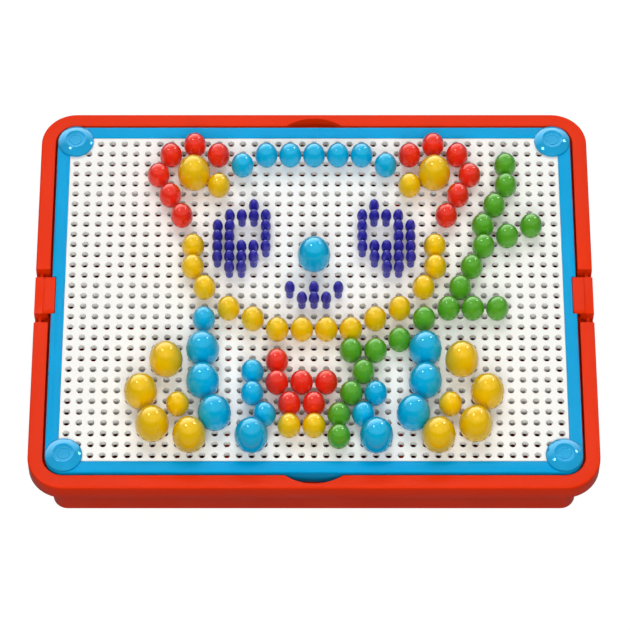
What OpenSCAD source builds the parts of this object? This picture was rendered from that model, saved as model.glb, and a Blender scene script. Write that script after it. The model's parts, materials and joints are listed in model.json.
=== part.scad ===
// Peg mosaic case: a storage tray closed by a perforated board in a frame,
// two side latches, four corner buttons and mushroom pegs that make a bear.
// Millimetres. +X right, +Y back, +Z up. The origin is the centre of the footprint on the table.
// "u" is the distance outwards from the line that joins the four corner axes.

/* [Peg board] */
// Distance between neighbouring holes
hole_pitch = 6; // [5.8:0.1:7]
// Holes in a long row, an odd number so that one is on the centre line
hole_cols = 41; // [41:2:49]
// Holes in a short row, an odd number so that one is on the centre line
hole_rows = 31; // [31:2:37]
// Diameter of a peg hole
hole_d = 3.2; // [3:0.1:3.4]
// Thickness of the perforated board
board_t = 3.3; // [2.4:0.1:4]
// Depth of the stiffening ribs under the board
rib_depth = 3.5; // [2:0.5:4]
// Thickness of a stiffening rib
rib_t = 1.2; // [0.8:0.1:1.8]
// Distance from a rib's end to the corner axis
rib_inset = 6; // [5:0.5:12]
// Width of the groove between the field of holes and the frame
groove_w = 0.35; // [0.2:0.05:0.6]
// Depth of that groove
groove_d = 0.6; // [0.3:0.1:1]

/* [Board frame] */
// Distance from the last hole to the corner axis, in X and in Y
corner_inset = 0.65; // [0.4:0.05:1.2]
// Reach of the frame's window from the corner axis
window_u = 2.7; // [2.3:0.1:3]
// Reach of the frame's outer face from the corner axis
frame_u = 9.15; // [8.9:0.05:9.4]
// Height of the frame's top above the board
frame_rise = 0.75; // [0.6:0.05:0.9]
// Height of the steep edge where the lip meets the board
lip_edge = 0.4; // [0.2:0.05:0.5]
// Width of that steep edge
lip_edge_w = 0.3; // [0.1:0.05:0.4]
// Width of the bevel round the window
bevel_w = 1.1; // [0.6:0.1:1.6]
// Radius of the frame's outer top edge
frame_edge_r = 0.8; // [0.4:0.1:0.9]
// Thickness of the frame's skirt
skirt_t = 2; // [1.6:0.1:2.4]
// Depth of the skirt below the board's top
skirt_h = 9.3; // [8.4:0.1:10]
// Overlap of the frame's lip on the board
lip_overlap = 3.2; // [2.6:0.1:3.6]
// Width of a snap tab under the board's edge
tab_w = 12; // [8:1:20]
// Height of a snap tab
tab_h = 1.6; // [1.2:0.1:2.4]
// Reach of a snap tab under the board
tab_reach = 1.4; // [0.8:0.1:2]
// Thickness of the wall behind the recess for a latch's lip
backing = 2; // [1.2:0.1:2.4]

/* [Storage tray] */
// Height of the tray, from the table to the rim's top
tray_h = 40.5; // [34:0.5:55]
// Reach of the tray's body from the corner axis
body_u = 7.2; // [6.6:0.1:8]
// Wall thickness of the tray
wall_t = 2; // [1.6:0.1:2.4]
// Radius of the body's lower edge
base_r = 1; // [0.5:0.1:1.6]
// Height of the floor panel above the table
floor_rise = 0.8; // [0.5:0.1:2]
// Gap between the frame and the rim, seen from above
rim_gap = 1.25; // [0.8:0.05:1.5]
// Width of the rim's top face
rim_w = 7.1; // [6.6:0.1:9]
// Height of the rim's outer face
rim_h = 9.8; // [9.2:0.1:14]
// Radius of the rim's outer top edge
rim_edge_r = 0.9; // [0.4:0.1:1.4]
// Number of store bins, side by side
bin_count = 3; // [2:1:4]
// Thickness of a wall between two bins
bin_wall_t = 1.6; // [1.2:0.1:2.4]
// Depth by which one wall runs into another
merge = 0.5; // [0.2:0.1:0.8]
// Width of a finger notch
notch_w = 28; // [24:1:40]
// Depth of a finger notch into the rim
notch_d = 4.5; // [4.1:0.1:5]
// Depth of the finger notches and latch bays below the rim's top
bay_depth = 7.8; // [7.4:0.1:8.4]

/* [Latches] */
// Length of a latch
latch_l = 21; // [16:0.2:30]
// Finger gap at each end of a latch
latch_gap = 4.85; // [4.6:0.05:8]
// Height of the latch's raised plate above the rim
latch_rise = 1.7; // [1.3:0.1:2]
// Height of the latch's outer part above the rim
shoulder_rise = 0.3; // [0.1:0.1:0.5]
// Reach of the lip over the frame's edge
lip_reach = 1.8; // [1:0.1:2.4]
// Thickness of the lip
lip_t = 2; // [1.4:0.1:2.4]
// Radius of the lip's corners, seen from above
lip_corner_r = 1.2; // [0.6:0.1:1.6]
// Width of the lower outer part
step_w = 4.2; // [2:0.1:4.6]
// Run of the bevels at both ends of the raised plate
plate_bevel = 1.4; // [0.4:0.1:2]
// Height of those bevels
plate_bevel_h = 1.2; // [0.6:0.1:1.3]
// Bevel along the raised plate's outer edge
ridge_bevel = 0.6; // [0.3:0.1:1]
// Diameter of the hinge pin
pin_d = 2; // [1.6:0.1:2.6]
// Radius of the latch's round foot about the pin
foot_r = 2.7; // [2.4:0.05:2.9]
// Depth of the pin's axis below the rim's top
pin_drop = 4.7; // [4.5:0.05:5]

/* [Corner buttons] */
// Radius of a corner button
button_r = 9; // [8:0.1:9.1]
// Height of the button's outer edge above the frame
button_edge_h = 1; // [0.6:0.1:1.4]
// Radius of the dome from that edge to the recess
dome_r = 15.5; // [13:0.5:24]
// Radius at the button's foot
button_foot_r = 0.3; // [0.1:0.1:0.5]
// Radius of the round recess in its top
dish_r = 4.6; // [3.5:0.1:6]
// Depth of that recess
dish_d = 0.5; // [0.3:0.1:0.8]
// Radius of the raised ring inside the recess
ring_r = 2.9; // [2:0.1:3.2]
// Height of that ring
ring_h = 0.25; // [0.1:0.05:0.4]
// Width of the slopes of the recess and the ring
slope_w = 0.35; // [0.2:0.05:0.6]
// Length of its stem below the board's top
stem_l = 5; // [4.2:0.1:6]

/* [Pegs] */
// Radius of a large head
large_r = 8.15; // [7:0.05:8.15]
// Height of a large head's top above the board
large_top = 21.3; // [18:0.1:24]
// Height of a large head's widest place
large_mid = 9; // [8:0.1:11]
// Height of a large head's underside
large_under = 3.8; // [3:0.1:5]
// Radius of a large head's underside
large_under_r = 7; // [5:0.1:7]
// Radius of a medium head
medium_r = 5.65; // [5:0.05:5.65]
// Height of a medium head's top above the board
medium_top = 15.6; // [14:0.1:18]
// Height of a medium head's widest place
medium_mid = 7.6; // [6:0.1:9]
// Height of a medium head's underside
medium_under = 3.6; // [3:0.1:4.5]
// Radius of a medium head's underside
medium_under_r = 4.7; // [3.6:0.1:4.8]
// Radius of a small head
small_r = 2.65; // [2.3:0.05:2.8]
// Height of a small head's top above the board
small_top = 12.6; // [11:0.1:14]
// Height of a small head's widest place
small_mid = 6.7; // [6:0.1:8]
// Height of a small head's underside
small_under = 4.9; // [4:0.1:5.5]
// Radius of a small head's underside
small_under_r = 2; // [1.95:0.05:2.2]
// Radius of a small peg's collar
small_collar_r = 1.95; // [1.7:0.05:1.95]
// Radius of a large or medium peg's collar
collar_r = 2.4; // [2:0.1:2.8]
// Diameter of a peg's shaft
shaft_d = 2.8; // [2.6:0.05:2.85]
// Length of a peg's shaft below the board's top
shaft_l = 6.8; // [6:0.1:7]
// Length of the taper at the shaft's tip
tip_l = 0.8; // [0.4:0.1:1.5]
// Angle by which a peg leans away from a neighbour that is too near
peg_lean = 1.7; // [1.5:0.05:1.8]

/* [Fits] */
// Gap between the frame's skirt and the tray's shelf
seat_gap = 0.15; // [0.1:0.05:0.3]
// Gap between a collar and the board
collar_gap = 0.15; // [0.1:0.05:0.3]
// Gap round the edge of the board in its frame
board_gap = 0.2; // [0.1:0.05:0.3]
// Gap between a latch and what it closes on
latch_clear = 0.3; // [0.25:0.05:0.5]
// Radial clearance of a latch on its pin
pin_clear = 0.08; // [0.04:0.01:0.1]
// Radial clearance of a pin in the rim and of a stem in its hole
press_clear = 0.02; // [0.01:0.01:0.04]
// Height left between the pegs' tips and the bin walls
tip_clear = 0.7; // [0.5:0.1:2]
// Gap between a latch's outer face and the rim's
flush_gap = 0.05; // [0:0.05:0.1]
// Distance by which a button hides the edge of its seat
rim_clear = 0.5; // [0.3:0.1:1]

/* [Hidden] */
$fn = 48;
eps = 0.01;
over = 1;

// Places of the corner axes
corner_x = (hole_cols - 1) / 2 * hole_pitch + corner_inset;
corner_y = (hole_rows - 1) / 2 * hole_pitch + corner_inset;

// Heights above the table
board_top = tray_h;
board_under = board_top - board_t;
frame_top = board_top + frame_rise;
skirt_foot = board_top - skirt_h;
shelf_top = skirt_foot - seat_gap;
bay_floor = tray_h - bay_depth;
rim_foot = tray_h - rim_h;
bin_wall_top = board_top - max(shaft_l, board_t + rib_depth) - tip_clear;
pin_z = tray_h - pin_drop;
latch_top = tray_h + latch_rise;

// Reaches from the corner axis
lip_root_u = window_u + lip_overlap;
board_u = lip_root_u - board_gap;
rim_in_u = frame_u + rim_gap;
rim_out_u = rim_in_u + rim_w;
pad_r = button_r - rim_clear;
stem_r = hole_d / 2 - press_clear;

// Latch places, as reaches from the corner axis on the long side
pin_u = rim_out_u - foot_r - flush_gap;
tip_u = frame_u - lip_reach;
heel_u = rim_in_u + latch_clear;
ridge_u = pin_u + foot_r - step_w;
plate_foot = latch_top - lip_t;
bay_half = latch_l / 2 + latch_gap;
lip_cut_half = latch_l / 2 + latch_clear;
notch_r = (pow(notch_w / 2, 2) + pow(notch_d, 2)) / (2 * notch_d);

// Colours
red = [0.91, 0.22, 0.10];
blue = [0.11, 0.65, 0.88];
white = [0.97, 0.97, 0.95];
peg_red = [0.90, 0.13, 0.12];
peg_yellow = [0.96, 0.78, 0.08];
peg_blue = [0.12, 0.62, 0.87];
peg_green = [0.24, 0.58, 0.15];
peg_indigo = [0.23, 0.18, 0.62];

// The picture: each peg as [columns right, rows up] from the centre hole.
// Two more numbers say which way a peg leans, in columns and rows.
// What lies on both sides of the centre line is written once, for the left.
function mirrored(pegs) = [for (p = pegs) len(p) > 2 ? [-p[0], p[1], -p[2], p[3]] : [-p[0], p[1]]];
function upright(col, low, high) = [for (row = [low:high]) [col, row]];
ear_edge = [[-10, 14], [-12, 13], [-8, 13], [-13, 11], [-12, 9], [-11, 7]];
ear_large = [[-10, 11, -2, 1]];
ear_medium = [[-8, 10, 2, -1]];
brow = [[-6, 12], [-4, 13], [-2, 13], [0, 13], [2, 13], [4, 13], [6, 12]];
cheek = [[-10, 4], [-10, 2], [-9, 0], [-7, -2], [-5, -3], [-3, -4], [-1, -4]];
eye = concat(upright(-8, 3, 6), upright(-7, 2, 7), upright(-6, 2, 4), [[-6, 7]],
             [[-5, 3], [-5, 4], [-5, 7], [-5, 8]], upright(-4, 4, 7));
mouth = [[-2, 0], [2, 0], [0, 0], [-1, -1], [0, -1], [1, -1]];
nose = [[0, 3]];
arm = [[-9, -6, -2, -1], [-9, -9], [-8, -12], [-5, -14, -1, -2]];
shoulder = [[-9, -3]];
paw_large = [[-12, -7], [-14, -10], [-13, -13], [-10, -14]];
paw_medium = [[-11, -11]];
bib_red = [[-3, -7], [-3, -9], [-1, -9], [1, -9], [-2, -11], [0, -11]];
bib_yellow = [[-2, -13], [0, -13]];
vest_left = [[-5, -8], [-5, -10], [-4, -12, 1, 2]];
vest_right = [[5, -10], [4, -12, -1, 2]];
stick_top = [[16, 12], [16, 10], [15, 8], [14, 6], [14, 4], [13, 2], [12, 0], [11, -2]];
stick_low = [[9, -3], [7, -5, -2, 1], [5, -6], [3, -6], [4, -8], [3, -10], [2, -12], [2, -14]];
leaf_high = [[16, 5], [18, 6]];
leaf_low = [[13, -2], [15, -2]];

// ---- Shapes shared by the sub-parts ----

// Points of a quarter round about c, from angle a to angle b
function quarter(c, r, a, b, n = 4) =
    [for (i = [0:n]) let (t = a + (b - a) * i / n) c + r * [cos(t), sin(t)]];

// A flat rounded rectangle that reaches u beyond the corner axes
module plate_outline(u) {
    square([2 * (corner_x + u), 2 * corner_y], center = true);
    square([2 * corner_x, 2 * (corner_y + u)], center = true);
    for (sx = [-1, 1], sy = [-1, 1]) translate([sx * corner_x, sy * corner_y]) circle(r = u);
}

// A stretch of a (u, z) profile along the right-hand side
module right_stretch(length) {
    translate([corner_x, length / 2, 0]) rotate([90, 0, 0]) linear_extrude(length) children();
}

// The same along the back
module back_stretch(length) {
    translate([length / 2, corner_y, 0]) rotate([90, 0, 90]) mirror([0, 0, 1])
        linear_extrude(length) children();
}

// A (u, z) profile swept all the way round
module swept_ring() {
    for (turn = [0, 180]) rotate(turn) {
        right_stretch(2 * corner_y) children();
        back_stretch(2 * corner_x) children();
        translate([corner_x, corner_y, 0]) rotate_extrude(angle = 90) children();
        translate([-corner_x, corner_y, 0]) rotate(90) rotate_extrude(angle = 90) children();
    }
}

// ---- Storage tray ----

// Body wall, shelf and hollow rim in one section
module tray_section() {
    polygon(concat(
        [[body_u - wall_t, 0]],
        quarter([body_u - base_r, base_r], base_r, -90, 0),
        [[body_u, shelf_top - wall_t], [rim_in_u + wall_t, shelf_top - wall_t],
         [rim_in_u + wall_t, tray_h - wall_t], [rim_out_u - wall_t, tray_h - wall_t],
         [rim_out_u - wall_t, rim_foot], [rim_out_u, rim_foot]],
        quarter([rim_out_u - rim_edge_r, tray_h - rim_edge_r], rim_edge_r, 0, 90),
        [[rim_in_u, tray_h], [rim_in_u, shelf_top], [body_u - wall_t, shelf_top]]));
}

// The rim's outer shape, filled, where a bay or a notch needs its own walls
module rim_fill_section() {
    polygon(concat(
        [[rim_in_u, rim_foot], [rim_out_u, rim_foot]],
        quarter([rim_out_u - rim_edge_r, tray_h - rim_edge_r], rim_edge_r, 0, 90),
        [[rim_in_u, tray_h]]));
}

module latch_bay_cut() {
    translate([corner_x + rim_in_u - over, -bay_half, bay_floor])
        cube([rim_w + 2 * over, 2 * bay_half, bay_depth + over]);
}

module finger_notch_cut() {
    translate([0, corner_y + rim_in_u + notch_d - notch_r, bay_floor])
        cylinder(r = notch_r, h = bay_depth + over);
}

// Only the part of the notch's cylinder that lies in the rim
module finger_notch() {
    intersection() {
        finger_notch_cut();
        translate([-notch_w, corner_y + rim_in_u - rim_gap / 2, 0]) cube([2 * notch_w, rim_w, tray_h + over]);
    }
}

module pin_bore() {
    translate([corner_x + pin_u, 0, pin_z]) rotate([90, 0, 0])
        cylinder(d = pin_d + 2 * press_clear, h = 2 * (bay_half + wall_t + over), center = true);
}

module bin_walls() {
    span = 2 * (corner_x + body_u - wall_t);
    depth = 2 * (corner_y + body_u - wall_t + merge);
    foot = floor_rise + merge;
    for (i = [1:bin_count - 1])
        translate([-span / 2 + span * i / bin_count - bin_wall_t / 2, -depth / 2, foot])
            cube([bin_wall_t, depth, bin_wall_top - foot]);
}

module case_tray() {
    color(red) difference() {
        union() {
            swept_ring() tray_section();
            translate([0, 0, floor_rise]) linear_extrude(wall_t) plate_outline(body_u - wall_t / 2);
            bin_walls();
            for (turn = [0, 180]) rotate(turn) {
                right_stretch(2 * (bay_half + wall_t)) rim_fill_section();
                back_stretch(notch_w + 2 * wall_t) rim_fill_section();
            }
        }
        for (turn = [0, 180]) rotate(turn) {
            latch_bay_cut();
            finger_notch();
            pin_bore();
        }
    }
}

// ---- Latches ----

// Section of the latch in (u, z): round foot on the pin and upright block
module latch_section() {
    difference() {
        union() {
            translate([pin_u, pin_z]) circle(r = foot_r);
            polygon([[heel_u, pin_z], [pin_u + foot_r, pin_z], [pin_u + foot_r, tray_h + shoulder_rise],
                     [heel_u, tray_h + shoulder_rise]]);
        }
        translate([pin_u, pin_z]) circle(d = pin_d + 2 * pin_clear);
    }
}

// Section of the raised plate in (u, z), from the lip's tip to the bevelled ridge
module plate_section() {
    polygon([[tip_u, plate_foot], [ridge_u, plate_foot], [ridge_u, latch_top - ridge_bevel],
             [ridge_u - ridge_bevel, latch_top], [tip_u, latch_top]]);
}

// The raised plate seen from above, with round corners at the lip's tip
module plate_plan() {
    plate_w = ridge_u - tip_u;
    translate([lip_corner_r, -latch_l / 2]) square([plate_w - lip_corner_r, latch_l]);
    translate([0, -latch_l / 2 + lip_corner_r]) square([plate_w, latch_l - 2 * lip_corner_r]);
    for (sy = [-1, 1]) translate([lip_corner_r, sy * (latch_l / 2 - lip_corner_r)]) circle(r = lip_corner_r);
}

// The raised plate seen along u, with a bevel at each end
module plate_side() {
    half = latch_l / 2;
    polygon([[-half, plate_foot], [half, plate_foot], [half, latch_top - plate_bevel_h],
             [half - plate_bevel, latch_top], [-half + plate_bevel, latch_top],
             [-half, latch_top - plate_bevel_h]]);
}

module latch_plate() {
    intersection() {
        right_stretch(latch_l) plate_section();
        translate([corner_x + tip_u, 0, plate_foot]) linear_extrude(lip_t) plate_plan();
        translate([corner_x + tip_u, 0, 0]) rotate([90, 0, 90]) linear_extrude(ridge_u - tip_u) plate_side();
    }
}

module latch() {
    right_stretch(latch_l) latch_section();
    latch_plate();
}

module latch_right() {
    color(red) latch();
}

module latch_left() {
    color(red) rotate(180) latch();
}

module latch_pin() {
    translate([corner_x + pin_u, 0, pin_z]) rotate([90, 0, 0])
        cylinder(d = pin_d, h = 2 * (bay_half + wall_t), center = true);
}

module latch_pin_right() {
    color(red) latch_pin();
}

module latch_pin_left() {
    color(red) rotate(180) latch_pin();
}

// ---- Board frame and perforated board ----

// Lip over the board, outer wall and skirt in one section
module frame_section() {
    polygon(concat(
        [[window_u, board_top], [window_u + lip_edge_w, board_top + lip_edge],
         [window_u + lip_edge_w + bevel_w, frame_top]],
        quarter([frame_u - frame_edge_r, frame_top - frame_edge_r], frame_edge_r, 90, 0),
        [[frame_u, skirt_foot], [frame_u - skirt_t, skirt_foot], [frame_u - skirt_t, board_under],
         [lip_root_u, board_under], [lip_root_u, board_top]]));
}

module snap_tab() {
    translate([corner_x + lip_root_u - tab_reach, -tab_w / 2, board_under - tab_h])
        cube([frame_u - skirt_t - lip_root_u + tab_reach + eps, tab_w, tab_h]);
}

module board_frame() {
    tab_y = corner_y / 2;
    tab_x = corner_x / 2;
    color(blue) difference() {
        union() {
            swept_ring() frame_section();
            for (sx = [-1, 1], sy = [-1, 1]) translate([sx * corner_x, sy * corner_y, board_top])
                cylinder(r = pad_r, h = frame_rise);
            for (turn = [0, 180]) rotate(turn) {
                for (y = [-tab_y, tab_y]) translate([0, y, 0]) snap_tab();
                for (x = [-tab_x, tab_x]) translate([x, 0, 0]) rotate(90)
                    translate([corner_y - corner_x, 0, 0]) snap_tab();
                // Wall behind the recess that takes the latch's lip
                translate([corner_x + tip_u - latch_clear - backing, -lip_cut_half - backing, skirt_foot])
                    cube([frame_u - tip_u + latch_clear + backing - frame_edge_r,
                          2 * (lip_cut_half + backing), board_under - skirt_foot]);
            }
        }
        for (turn = [0, 180]) rotate(turn)
            translate([corner_x + tip_u - latch_clear, -lip_cut_half, skirt_foot - over])
                cube([frame_u, 2 * lip_cut_half, frame_top - skirt_foot + 2 * over]);
        for (sx = [-1, 1], sy = [-1, 1]) translate([sx * corner_x, sy * corner_y, board_top - over])
            cylinder(d = hole_d, h = frame_rise + 2 * over);
    }
}

// Every hole but the four in the corners, whose place the buttons' stems take
module hole_pattern() {
    half_cols = (hole_cols - 1) / 2;
    half_rows = (hole_rows - 1) / 2;
    for (col = [-half_cols:half_cols], row = [-half_rows:half_rows])
        if (abs(col) < half_cols || abs(row) < half_rows)
            translate([col * hole_pitch, row * hole_pitch]) circle(d = hole_d);
    for (sx = [-1, 1], sy = [-1, 1]) translate([sx * corner_x, sy * corner_y]) circle(d = hole_d);
}

// Ribs between the hole rows, in two bands and near the back edge
module board_ribs() {
    rib_l = 2 * (corner_x - rib_inset);
    band = [for (row = [-12:-7]) row + 0.5, for (row = [-2:1]) row + 0.5, 10.5];
    for (row = band)
        translate([-rib_l / 2, row * hole_pitch - rib_t / 2, board_under - rib_depth])
            cube([rib_l, rib_t, rib_depth + eps]);
}

// Groove that parts the field of holes from the frame's window
module board_groove() {
    translate([0, 0, board_top - groove_d]) linear_extrude(groove_d + over) difference() {
        plate_outline(window_u);
        plate_outline(window_u - groove_w);
    }
}

module peg_board() {
    color(white) union() {
        difference() {
            translate([0, 0, board_under]) linear_extrude(board_t) difference() {
                plate_outline(board_u);
                hole_pattern();
            }
            board_groove();
        }
        board_ribs();
    }
}

// ---- Corner buttons ----

// Section from the stem's tip over the dome to the ring in the recess
module button_section() {
    tip = -stem_l - frame_rise;
    dome_z = button_edge_h - sqrt(pow(dome_r, 2) - pow(button_r, 2));
    lip_r = dish_r + slope_w;
    dish_z = dome_z + sqrt(pow(dome_r, 2) - pow(lip_r, 2)) - dish_d;
    dome_n = 8;
    polygon(concat(
        [[0, tip], [stem_r - tip_l / 2, tip], [stem_r, tip + tip_l], [stem_r, 0],
         [button_r - button_foot_r, 0], [button_r, button_foot_r]],
        [for (i = [0:dome_n]) let (r = button_r + (lip_r - button_r) * i / dome_n)
            [r, dome_z + sqrt(pow(dome_r, 2) - pow(r, 2))]],
        [[dish_r, dish_z], [ring_r + slope_w, dish_z],
         [ring_r, dish_z + ring_h], [ring_r - slope_w, dish_z], [0, dish_z]]));
}

module corner_button(sx, sy) {
    color(blue) translate([sx * corner_x, sy * corner_y, frame_top]) rotate_extrude() button_section();
}

module button_front_left() {
    corner_button(-1, -1);
}

module button_front_right() {
    corner_button(1, -1);
}

module button_back_left() {
    corner_button(-1, 1);
}

module button_back_right() {
    corner_button(1, 1);
}

// ---- Pegs ----

// Points of an egg-shaped head, from its underside to its top
function head_points(r, top, mid, under, under_r) =
    let (low_h = (mid - under) / sqrt(1 - pow(under_r / r, 2)), a0 = acos(under_r / r),
         low_n = 5, high_n = 10)
    concat(
        [for (i = [0:low_n]) let (a = a0 * (1 - i / low_n)) [r * cos(a), mid - low_h * sin(a)]],
        [for (i = [1:high_n - 1]) let (a = 90 * i / high_n) [r * cos(a), mid + (top - mid) * sin(a)]],
        [[0, top]]);

// A whole peg, standing in its hole: tip, shaft, collar and head
module peg(head, collar) {
    shaft_r = shaft_d / 2;
    rotate_extrude() polygon(concat(
        [[0, -shaft_l], [shaft_r - tip_l / 2, -shaft_l], [shaft_r, -shaft_l + tip_l], [shaft_r, collar_gap],
         [collar, collar_gap], [collar, head[0][1]]],
        head));
}

module large_peg() {
    peg(head_points(large_r, large_top, large_mid, large_under, large_under_r), collar_r);
}

module medium_peg() {
    peg(head_points(medium_r, medium_top, medium_mid, medium_under, medium_under_r), collar_r);
}

module small_peg() {
    peg(head_points(small_r, small_top, small_mid, small_under, small_under_r), small_collar_r);
}

// One child in each hole of a list, leaning where its entry says so
module in_holes(places) {
    for (p = places) translate([p[0] * hole_pitch, p[1] * hole_pitch, board_top])
        if (len(p) > 2) rotate(atan2(p[3], p[2])) rotate([0, peg_lean, 0]) children();
        else children();
}

module pegs_left_ear_edge() {
    color(peg_red) in_holes(ear_edge) medium_peg();
}

module pegs_right_ear_edge() {
    color(peg_red) in_holes(mirrored(ear_edge)) medium_peg();
}

module pegs_left_ear_centre() {
    color(peg_yellow) {
        in_holes(ear_large) large_peg();
        in_holes(ear_medium) medium_peg();
    }
}

module pegs_right_ear_centre() {
    color(peg_yellow) {
        in_holes(mirrored(ear_large)) large_peg();
        in_holes(mirrored(ear_medium)) medium_peg();
    }
}

module pegs_brow() {
    color(peg_blue) in_holes(brow) medium_peg();
}

module pegs_left_eye() {
    color(peg_indigo) in_holes(eye) small_peg();
}

module pegs_right_eye() {
    color(peg_indigo) in_holes(mirrored(eye)) small_peg();
}

module peg_nose() {
    color(peg_blue) in_holes(nose) large_peg();
}

module pegs_mouth() {
    color(peg_indigo) in_holes(mouth) small_peg();
}

module pegs_left_cheek() {
    color(peg_yellow) in_holes(cheek) medium_peg();
}

module pegs_right_cheek() {
    color(peg_yellow) in_holes(mirrored(cheek)) medium_peg();
}

module peg_left_shoulder() {
    color(peg_blue) in_holes(shoulder) medium_peg();
}

module pegs_left_arm() {
    color(peg_blue) in_holes(arm) large_peg();
}

module pegs_right_arm() {
    color(peg_blue) in_holes(mirrored(arm)) large_peg();
}

module pegs_left_paw() {
    color(peg_yellow) {
        in_holes(paw_large) large_peg();
        in_holes(paw_medium) medium_peg();
    }
}

module pegs_right_paw() {
    color(peg_yellow) {
        in_holes(mirrored(paw_large)) large_peg();
        in_holes(mirrored(paw_medium)) medium_peg();
    }
}

module pegs_bib_red() {
    color(peg_red) in_holes(bib_red) medium_peg();
}

module pegs_bib_yellow() {
    color(peg_yellow) in_holes(bib_yellow) medium_peg();
}

module pegs_vest_left() {
    color(peg_blue) in_holes(vest_left) medium_peg();
}

module pegs_vest_right() {
    color(peg_blue) in_holes(vest_right) medium_peg();
}

module pegs_stick_top() {
    color(peg_green) in_holes(stick_top) medium_peg();
}

module pegs_stick_low() {
    color(peg_green) in_holes(stick_low) medium_peg();
}

module pegs_leaf_high() {
    color(peg_green) in_holes(leaf_high) medium_peg();
}

module pegs_leaf_low() {
    color(peg_green) in_holes(leaf_low) medium_peg();
}

case_tray();
latch_left();
latch_right();
latch_pin_left();
latch_pin_right();
board_frame();
peg_board();
button_front_left();
button_front_right();
button_back_left();
button_back_right();
pegs_left_ear_edge();
pegs_right_ear_edge();
pegs_left_ear_centre();
pegs_right_ear_centre();
pegs_brow();
pegs_left_eye();
pegs_right_eye();
peg_nose();
pegs_mouth();
pegs_left_cheek();
pegs_right_cheek();
peg_left_shoulder();
pegs_left_arm();
pegs_right_arm();
pegs_left_paw();
pegs_right_paw();
pegs_bib_red();
pegs_bib_yellow();
pegs_vest_left();
pegs_vest_right();
pegs_stick_top();
pegs_stick_low();
pegs_leaf_high();
pegs_leaf_low();
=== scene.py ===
"""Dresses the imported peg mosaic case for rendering.

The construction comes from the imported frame: a red storage tray with its two
latches, and a perforated white board in a blue frame with corner buttons and
mushroom pegs. This script turns the plain solids into smooth mouldings, gives
each surface its finish, and adds the camera, the floor and the lights.
"""

import json
import logging
import math
from dataclasses import dataclass, field
from enum import Enum
from typing import Sequence

import bmesh
import bpy
import numpy as np
from mathutils import Matrix, Vector


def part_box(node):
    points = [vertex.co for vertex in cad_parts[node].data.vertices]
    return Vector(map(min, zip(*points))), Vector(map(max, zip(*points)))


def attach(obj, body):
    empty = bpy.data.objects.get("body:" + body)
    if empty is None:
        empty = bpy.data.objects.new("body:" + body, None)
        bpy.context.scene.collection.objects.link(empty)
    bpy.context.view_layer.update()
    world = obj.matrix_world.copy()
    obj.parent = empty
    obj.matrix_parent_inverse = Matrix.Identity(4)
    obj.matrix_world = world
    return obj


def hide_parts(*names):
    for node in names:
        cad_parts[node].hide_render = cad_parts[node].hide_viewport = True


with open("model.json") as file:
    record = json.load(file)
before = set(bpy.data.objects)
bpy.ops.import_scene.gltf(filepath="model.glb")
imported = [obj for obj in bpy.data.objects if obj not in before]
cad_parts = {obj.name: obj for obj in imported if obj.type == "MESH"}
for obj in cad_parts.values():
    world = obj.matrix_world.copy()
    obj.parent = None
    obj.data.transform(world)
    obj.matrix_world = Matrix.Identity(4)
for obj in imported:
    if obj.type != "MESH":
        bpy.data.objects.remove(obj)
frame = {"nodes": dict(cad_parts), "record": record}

LOG = logging.getLogger("peg_mosaic")
MM = 0.001
Colour = tuple[float, float, float]
Point = tuple[float, float, float]
Flat = tuple[float, float]
Socket = bpy.types.NodeSocket

# Points nearer than this are one, in metres
WELD = 1e-6
# Faces that meet at a smaller angle than this are one face, in degrees
FLAT_ANGLE = 0.3
# Edges sharper than this angle are rounded, in degrees, and in how many steps
ROUNDED_ANGLE = 40.0
ROUND_STEPS = 2
# Edges sharper than these angles stay sharp in the shading, in degrees
MOULDING_CREASE = 35.0
BUTTON_CREASE = 50.0
BOARD_CREASE = 30.0
PEG_CREASE = 45.0

# The attributes that hold a point's place on its own peg, and how a peg leans
PEG_PLACE = "peg_place"
PEG_LEAN = "lean"

# The part of a noise's range over which flow marks, handled patches and hairline rubs come up
FLOW_RANGE = (0.35, 0.65)
PATCH_RANGE = (0.3, 0.7)
HAIR_RANGE = (0.66, 0.74)
# How hairline rubs lie: the turn of their direction, in radians, and how many times finer they are along
# each axis than they are long
HAIR_TURN = (0.0, 0.0, 0.6)
HAIR_STRETCH = (1.0, 14.0, 6.0)


class Body(Enum):
    """The bodies of the frame that pieces ride on."""

    CASE = "case"
    BOARD = "board"
    LATCH_LEFT = "latch_left"
    LATCH_RIGHT = "latch_right"


class Side(Enum):
    """The sides that have a latch."""

    LEFT = "left"
    RIGHT = "right"


class Corner(Enum):
    """The corners that have a button."""

    FRONT_LEFT = "front_left"
    FRONT_RIGHT = "front_right"
    BACK_LEFT = "back_left"
    BACK_RIGHT = "back_right"


class Slot(Enum):
    """The record's material slots."""

    CASE = "case_red"
    FRAME = "frame_blue"
    BOARD = "board_white"
    RED = "peg_red"
    YELLOW = "peg_yellow"
    BLUE = "peg_blue"
    GREEN = "peg_green"
    INDIGO = "peg_indigo"


def from_screen(red: int, green: int, blue: int) -> Colour:
    """Turns a screen colour into the linear one that shaders take, by the screens' standard curve.

    Args:
        red, green, blue: Screen values from 0 to 255.

    Returns:
        The linear colour.
    """
    def channel(value: int) -> float:
        """Returns one linear channel."""
        part = value / 255
        return part / 12.92 if part <= 0.04045 else ((part + 0.055) / 1.055) ** 2.4

    return channel(red), channel(green), channel(blue)


def scaled(colour: Colour, factor: float) -> tuple[float, float, float, float]:
    """Returns the colour times a factor, with an alpha of one."""
    return tuple(min(1.0, part * factor) for part in colour) + (1.0,)


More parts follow.
